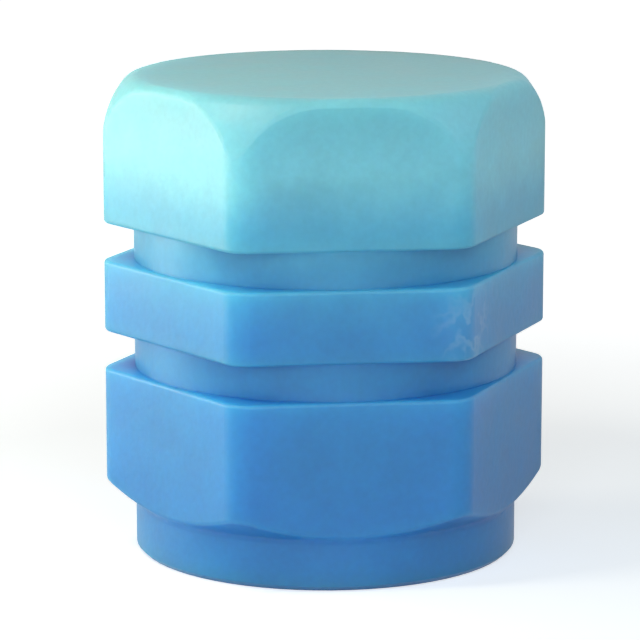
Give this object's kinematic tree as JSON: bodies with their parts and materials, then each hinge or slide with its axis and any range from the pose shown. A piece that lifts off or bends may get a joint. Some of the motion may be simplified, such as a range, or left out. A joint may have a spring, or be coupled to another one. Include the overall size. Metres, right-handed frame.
{
  "type": "tyre valve dust cap",
  "caption": "Hexagonal moulded dust cap with a rounded shoulder, two turned grooves and a blind threaded bore, for closing a tyre valve.",
  "frame": {"origin": "centre of the open rim, on the plane that the cap stands on", "axes": "+Z along the cap's axis towards the closed top; two flats of the hexagon face +Y and -Y, and two of its corners lie on the X axis"},
  "size_m": [0.0112, 0.0098, 0.012],
  "materials": {
    "translucent_plastic": "soft satin gloss, slightly translucent, turquoise at the closed end shading to blue at the rim"
  },
  "bodies": {
    "root": {"cap": "translucent_plastic"}
  },
  "joints": []
}
